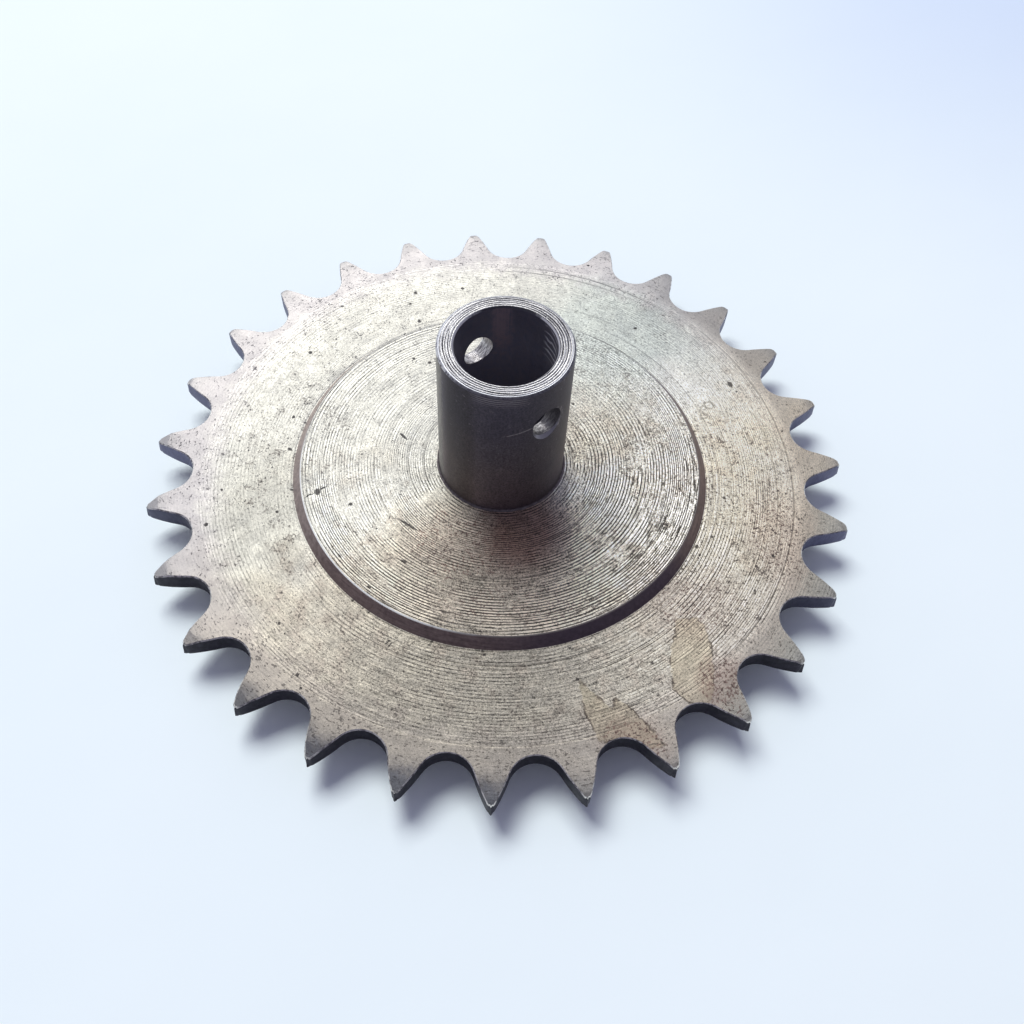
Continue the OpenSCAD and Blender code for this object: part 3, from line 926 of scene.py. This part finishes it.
def tube_outer():
    m = Mat("tube_steel_outside")
    P, x, y, z, r, cx, cy = m.place()
    speck = m.noise(P, 2.6, 3.0, 0.72)
    drawn = m.noise(m.vec(m.mul(cx, 26.0), m.mul(cy, 26.0), m.mul(z, 0.35)), 1.0, 3.0, 0.6)
    patch = m.noise(P, 0.12, 3.0, 0.55)
    spots = m.noise(P, 1.1, 3.0, 0.6)
    zz = m.mad(m.sub(patch, 0.5), 14.0, z)
    base = m.mix(m.ramp(zz, 26.0, 38.0), rgb(0.122, 0.106, 0.122), rgb(0.080, 0.073, 0.100))
    # browner towards the foot
    base = m.mix(m.mul(m.ramp(zz, 30.0, 13.0), 0.9), base, rgb(0.215, 0.172, 0.168))
    # a painted highlight down the left, and painted shade round the right
    left = m.add(m.mul(cx, math.cos(math.radians(241))), m.mul(cy, math.sin(math.radians(241))))
    left = m.ramp(m.mad(m.sub(drawn, 0.5), 0.05, left), 0.935, 0.990)
    base = m.mix(left, base, rgb(0.230, 0.220, 0.207))
    dimmed = m.ramp(m.add(m.mul(cx, math.cos(math.radians(30))), m.mul(cy, math.sin(math.radians(30)))), 0.42, 0.95)
    base = m.mix(dimmed, base, rgb(0.66, 0.67, 0.66), "MULTIPLY")
    # painted shade: a narrow darker band round the front left
    lean = m.add(m.mul(cx, math.cos(math.radians(280))), m.mul(cy, math.sin(math.radians(280))))
    base = m.mix(m.ramp(lean, 0.93, 0.99), base, rgb(0.62, 0.61, 0.57), "MULTIPLY")
    s = m.add(m.mad(m.sub(speck, 0.5), 2.2, 1.0), m.mul(m.sub(drawn, 0.5), 0.5))
    base = m.mix(1.0, base, m.vec(s, s, s), "MULTIPLY")
    base = m.mix(m.mul(m.ramp(spots, 0.64, 0.70), 0.35), base, rgb(0.26, 0.23, 0.27))
    # a few turned lines just under the end, painted as bright glints on the side towards the front
    ln = m.math("SINE", m.mul(z, 2 * math.pi / 0.5))
    facing = m.ramp(m.add(m.mul(cx, math.cos(math.radians(318))), m.mul(cy, math.sin(math.radians(318)))), 0.88, 0.99)
    shine = m.mul(m.mul(m.ramp(ln, 0.0, 0.95), facing), m.ramp(z, TOP - 3.2, TOP - 1.2))
    # a scratch running up towards the cross hole, and the rubbed lip of the hole
    scratch = m.mul(m.ramp(m.math("ABSOLUTE", m.sub(m.sub(z, 34.6), m.mul(m.add(y, 8.0), 0.30))), 0.22, 0.06),
                    m.mul(m.ramp(y, -8.2, -7.0), m.ramp(y, -2.6, -3.4)))
    scratch = m.mul(m.mul(scratch, m.math("GREATER_THAN", x, 0.0)), m.ramp(spots, 0.35, 0.5))
    lip = m.math("SQRT", m.add(m.math("POWER", m.sub(y, HOLE_Y), 2.0), m.math("POWER", m.sub(z, HOLE_Z), 2.0)))
    lip = m.mul(m.ramp(lip, HOLE_R + 1.0, HOLE_R + 0.6), m.mul(m.ramp(spots, 0.45, 0.62), m.ramp(y, 1.5, 3.5)))
    glints_and_scratches = m.most(m.mul(shine, 0.6), m.mul(scratch, 0.55), m.mul(lip, 0.5))
    base = m.mix(glints_and_scratches, base, rgb(0.42, 0.38, 0.40))
    h = m.mad(m.sub(speck, 0.5), 0.022, m.mul(m.sub(patch, 0.5), 0.06))
    h = m.mad(m.sub(drawn, 0.5), 0.012, h)
    m.set(base=base, metal=0.62, rough=m.mad(speck, 0.2, 0.34), normal=m.bump(h))
    return m.m


def tube_end():
    m = Mat("tube_steel_end")
    P, x, y, z, r, cx, cy = m.place()
    fine = m.noise(m.vec(m.mul(r, 3.6), m.mul(cx, 1.6), m.mul(cy, 1.6)), 1.0, 2.0, 0.6)
    broken = m.noise(m.vec(m.mul(r, 4.0), m.mul(cx, 24.0), m.mul(cy, 24.0)), 1.0, 2.0, 0.6)
    grain = m.noise(P, 3.6, 2.0, 0.65)
    # the coarse tool rings, dark in the valleys
    around = m.mad(cy, 0.28, m.mul(cx, 0.10))
    turns = m.mad(m.sub(TUBE_R - OC, r), 5.4 / (TUBE_R - OC - BORE_R - IC), around)
    ln = m.math("COSINE", m.mul(m.add(turns, m.mul(m.sub(fine, 0.5), 1.1)), 2 * math.pi))
    # painted light and shade: the rings are painted with more contrast on the near side, and the far side is painted
    # darker
    near = m.add(m.mul(cx, math.cos(math.radians(300))), m.mul(cy, math.sin(math.radians(300))))
    depth = m.ramp(near, -0.9, 0.9, 0.42, 0.66)
    tone = m.add(m.mul(ln, depth), m.mad(m.sub(fine, 0.5), 0.8, m.mad(m.sub(broken, 0.5), 0.9, 0.53)))
    tone = m.add(m.mad(m.sub(grain, 0.5), 0.5, tone), m.ramp(near, -0.9, 0.1, -0.15, 0.0))
    base = m.mix(m.ramp(tone, 0.12, 0.88, smooth=False), rgb(0.035, 0.033, 0.038), rgb(0.98, 0.96, 0.90))
    # painted highlight: the outer rim is painted bright, most on the near side
    rim = m.mul(m.ramp(r, TUBE_R - OC - 0.30, TUBE_R - OC - 0.12), m.ramp(near, -0.5, 0.5, 0.3, 1.0))
    base = m.mix(rim, base, rgb(1.0, 1.0, 1.0))
    # painted shade: a little darker to the right
    right = m.ramp(m.add(m.mul(cx, math.cos(VIEW)), m.mul(cy, math.sin(VIEW))), 0.3, 0.95, 1.0, 0.92)
    base = m.mix(1.0, base, m.vec(right, right, right), "MULTIPLY")
    h = m.mad(ln, 0.007, m.mad(m.sub(fine, 0.5), 0.05, m.mul(m.sub(broken, 0.5), 0.03)))
    m.set(base=base, metal=m.mad(rim, -0.45, 0.72), rough=0.36, normal=m.bump(h), aniso=0.4, tangent=m.tangent())
    return m.m


def tube_edge():
    m = Mat("tube_steel_edge")
    P, x, y, z, r, cx, cy = m.place()
    n1 = m.noise(P, 1.3, 3.0, 0.6)
    base = m.mix(m.ramp(n1, 0.44, 0.66), rgb(0.70, 0.68, 0.65), rgb(0.15, 0.14, 0.155))
    # painted light and shade: the outer chamfer is bright on the left and behind, dark in front and on the right
    dark = m.add(m.mul(cx, math.cos(math.radians(350))), m.mul(cy, math.sin(math.radians(350))))
    dark = m.ramp(m.mad(m.sub(n1, 0.5), 1.0, dark), -0.15, 0.35)
    base = m.mix(m.mul(dark, 0.85), base, rgb(0.085, 0.078, 0.095))
    # painted light and shade: the break at the bore is light to the left and right, dark in front and behind
    across = m.math("ABSOLUTE", m.add(m.mul(cx, math.cos(VIEW)), m.mul(cy, math.sin(VIEW))))
    lip = m.mix(m.ramp(m.mad(m.sub(n1, 0.5), 0.5, across), 0.45, 0.8), rgb(0.060, 0.057, 0.066), rgb(0.62, 0.60, 0.60))
    base = m.mix(m.ramp(r, 11.5, 10.8), base, lip)
    m.set(base=base, metal=0.6, rough=0.36, normal=m.bump(m.mul(m.sub(n1, 0.5), 0.03)))
    return m.m


def tube_bore():
    m = Mat("tube_steel_bore")
    P, x, y, z, r, cx, cy = m.place()
    n1 = m.noise(P, 0.9, 4.0, 0.65)
    lay = m.noise(m.vec(m.mul(cx, 22.0), m.mul(cy, 22.0), m.mul(z, 0.12)), 1.0, 3.0, 0.6)
    base = m.mix(m.ramp(n1, 0.3, 0.7), rgb(0.178, 0.176, 0.215), rgb(0.215, 0.195, 0.215))
    # painted light deep in the bore, and painted shade on its right side
    deep = m.ramp(z, 44.0, 32.0, 1.0, 1.55)
    deep = m.mul(deep, m.ramp(m.add(m.mul(cx, math.cos(VIEW)), m.mul(cy, math.sin(VIEW))), 0.4, 0.95, 1.0, 0.72))
    base = m.mix(1.0, base, m.vec(deep, deep, deep), "MULTIPLY")
    # a broken run of rust down the far side, and tool rings that catch the light near the end
    run = m.add(m.mul(cx, math.cos(math.radians(147))), m.mul(cy, math.sin(math.radians(147))))
    run = m.mul(m.ramp(m.mad(m.sub(lay, 0.5), 0.05, m.mad(m.sub(n1, 0.5), 0.045, run)), 0.965, 1.005),
                m.ramp(m.mad(n1, 12.0, z), 36.0, 46.0))
    base = m.mix(m.mul(run, 0.6), base, rgb(0.50, 0.36, 0.36))
    glint = m.add(m.mul(cx, math.cos(math.radians(77))), m.mul(cy, math.sin(math.radians(77))))
    line = m.math("SINE", m.mad(m.noise(m.vec(m.mul(cx, 3.0), m.mul(cy, 3.0), m.mul(z, 0.8)), 1.0, 1.0), 7.0, m.mul(z, 4.2)))
    glint = m.mul(m.ramp(glint, 0.945, 0.992), m.mul(m.ramp(z, 36.0, 38.0), m.ramp(z, 44.9, 44.2)))
    glint = m.mul(glint, m.ramp(line, 0.25, 0.85))
    base = m.mix(m.mul(glint, 0.62), base, rgb(0.98, 0.95, 0.97))
    m.set(base=base, metal=0.35, rough=m.mad(n1, 0.2, 0.40), normal=m.bump(m.mul(m.sub(n1, 0.5), 0.04)))
    return m.m


def drilled():
    m = Mat("tube_steel_drilled")
    P, x, y, z, r, cx, cy = m.place()
    n1 = m.noise(m.vec(m.mul(x, 4.5), m.mul(y, 0.9), m.mul(z, 0.9)), 1.0, 3.0, 0.65)
    n2 = m.noise(P, 2.2, 3.0, 0.65)
    base = m.mix(m.ramp(n1, 0.36, 0.64), rgb(0.92, 0.88, 0.84), rgb(0.22, 0.20, 0.20))
    # the outer part of the near hole is dull, as the tube is, and one side of its wall is dark with painted shade
    dimmed = m.ramp(m.mad(m.sub(n2, 0.5), 1.4, x), 10.9, 11.5)
    side = m.mul(m.ramp(m.mad(m.sub(n2, 0.5), 1.6, y), 0.6, 1.6), m.math("GREATER_THAN", x, 0.0))
    base = m.mix(m.mul(m.math("MAXIMUM", dimmed, side), 0.86), base, rgb(0.080, 0.074, 0.085))
    m.set(base=base, metal=0.6, rough=0.38, normal=m.bump(m.mul(m.sub(n1, 0.5), 0.09)))
    return m.m


def hole_break():
    m = Mat("tube_steel_break")
    P, x, y, z, r, cx, cy = m.place()
    n1 = m.noise(P, 1.6, 3.0, 0.6)
    phi = m.sub(z, HOLE_Z)
    # painted light and shade: the break is lighter below the hole's centre and dark above it
    base = m.mix(m.ramp(m.mad(m.sub(n1, 0.5), 3.0, phi), 0.0, -3.0), rgb(0.085, 0.080, 0.100), rgb(0.30, 0.28, 0.30))
    m.set(base=base, metal=0.55, rough=0.40, normal=m.bump(m.mul(m.sub(n1, 0.5), 0.04)))
    return m.m


def weld(name, a, b, tint=0.0):
    m = Mat(name)
    P, x, y, z, r, cx, cy = m.place()
    n1 = m.noise(P, 1.3, 4.0, 0.6)
    n2 = m.noise(P, 5.0, 2.0, 0.6)
    base = m.mix(m.ramp(n1, 0.35, 0.65), a, b)
    if tint:
        base = m.mix(m.mul(m.ramp(n2, 0.45, 0.7), tint), base, rgb(0.17, 0.10, 0.055))
    h = m.add(m.mul(m.sub(n1, 0.5), 0.06), m.mul(m.sub(n2, 0.5), 0.015))
    m.set(base=base, metal=0.9, rough=m.mad(n1, 0.2, 0.36), normal=m.bump(h))
    return m.m


def paper():
    m = Mat("white_paper")
    P, x, y, z, r, cx, cy = m.place()
    n = m.noise(P, 0.012, 3.0, 0.5)
    f = m.noise(P, 0.6, 3.0, 0.6)
    base = m.mix(m.ramp(n, 0.3, 0.7), rgb(0.845, 0.895, 0.905), rgb(0.86, 0.905, 0.915))
    # painted shade: a little darker and bluer towards the far right corner
    right = m.add(m.mul(x, math.cos(VIEW)), m.mul(y, math.sin(VIEW)))
    away = m.add(m.mul(x, -math.sin(VIEW)), m.mul(y, math.cos(VIEW)))
    corner = m.ramp(m.spot(right, away, 190.0, 240.0, 200.0, 200.0), 1.1, 0.1)
    base = m.mix(corner, base, rgb(0.66, 0.73, 0.86))
    m.set(base=base, metal=0.0, rough=0.9, normal=m.bump(m.mad(f, 0.02, m.mul(n, 1.5)), strength=0.6))
    m.bsdf.inputs["Specular IOR Level"].default_value = 0.2
    return m.m


m_face = turned_steel()
m_wall = wall_steel("turned_steel_wall", rgb(0.025, 0.022, 0.034), rgb(0.012, 0.011, 0.018), side=rgb(0.125, 0.125, 0.205))
for mat in (m_face, m_wall, edge_steel(), back_steel(), step_steel()):
    plate_ob.data.materials.append(mat)
for mat in (tube_outer(), tube_end(), tube_edge(), tube_bore(), drilled(), hole_break()):
    tube_ob.data.materials.append(mat)
front_ob.data.materials.append(weld("seam_steel_ring", rgb(0.20, 0.175, 0.165), rgb(0.125, 0.105, 0.10)))
rear_ob.data.materials.append(weld("weld_steel_bead", rgb(0.36, 0.34, 0.33), rgb(0.20, 0.185, 0.18), 0.45))

for ob in (plate_ob, tube_ob, front_ob, rear_ob):
    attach(ob, "root")


# ---------------------------------------------------------------- floor and light
def floor():
    n = 40
    s = np.linspace(-1.0, 1.0, n + 1)
    xx, yy = np.meshgrid(np.sign(s) * np.abs(s) ** 1.6 * 1.6, np.sign(s) * np.abs(s) ** 1.6 * 1.6)
    zz = np.zeros_like(xx)
    co = np.stack([xx.ravel(), yy.ravel(), zz.ravel()], 1)
    faces = []
    for j in range(n):
        for i in range(n):
            k = j * (n + 1) + i
            faces.append((k, k + 1, k + n + 2, k + n + 1))
    ob = make_mesh("paper_sheet", co, faces, sharp=None)
    ob.data.materials.append(paper())
    return ob


floor()


def photo_dir(x, y, z):
    """A direction given as right, away and up in the front view, turned into this frame."""
    c, s = math.cos(VIEW), math.sin(VIEW)
    return Vector((x * c - y * s, x * s + y * c, z))


def area(name, at, size, watts, colour, target=(0, 0, 0.01), size_y=None):
    li = bpy.data.lights.new(name, "AREA")
    li.shape = "RECTANGLE" if size_y else "DISK"
    li.size = size
    if size_y:
        li.size_y = size_y
    li.energy = watts
    li.color = colour
    ob = bpy.data.objects.new(name, li)
    ob.location = at
    ob.rotation_euler = (Vector(target) - Vector(at)).to_track_quat("-Z", "Y").to_euler()
    bpy.context.scene.collection.objects.link(ob)
    return ob


def aim(az, el):
    """A direction by its azimuth, right of straight away in the front view, and its elevation."""
    a, e = math.radians(az), math.radians(el)
    return photo_dir(math.sin(a) * math.cos(e), math.cos(a) * math.cos(e), math.sin(e))


# the soft light that draws the shadows, and the lower window behind that the metal reflects
key = area("key", aim(-33, 60) * 2.6, 1.6, 62.0, (0.945, 1.0, 0.985), size_y=1.1)
key.visible_glossy = False
window = area("window", aim(-21, 38) * 2.2, 1.25, 16.0, (1.0, 1.0, 0.985), size_y=0.9)
window.visible_diffuse = False

world = bpy.data.worlds.new("room")
bpy.context.scene.world = world
world.use_nodes = True
wt = world.node_tree
wt.nodes.clear()
wo = wt.nodes.new("ShaderNodeOutputWorld")
bg = wt.nodes.new("ShaderNodeBackground")
tc = wt.nodes.new("ShaderNodeTexCoord")
dot = wt.nodes.new("ShaderNodeVectorMath")
dot.operation = "DOT_PRODUCT"
away = photo_dir(-0.25, 0.80, 0.55).normalized()
dot.inputs[1].default_value = away
mr = wt.nodes.new("ShaderNodeMapRange")
mr.interpolation_type = "SMOOTHSTEP"
mr.inputs[1].default_value, mr.inputs[2].default_value = -0.6, 1.0
mr.inputs[3].default_value, mr.inputs[4].default_value = 0.0, 1.0
cm = wt.nodes.new("ShaderNodeMix")
cm.data_type = "RGBA"
cm.inputs[6].default_value = (0.108, 0.104, 0.172, 1)
cm.inputs[7].default_value = (0.375, 0.390, 0.53, 1)
wt.links.new(tc.outputs["Generated"], dot.inputs[0])
wt.links.new(dot.outputs["Value"], mr.inputs[0])
wt.links.new(mr.outputs[0], cm.inputs[0])
wt.links.new(cm.outputs[2], bg.inputs[0])
bg.inputs[1].default_value = 1.0
wt.links.new(bg.outputs[0], wo.inputs[0])

bpy.context.scene.view_settings.view_transform = "Standard"
bpy.context.scene.view_settings.look = "None"
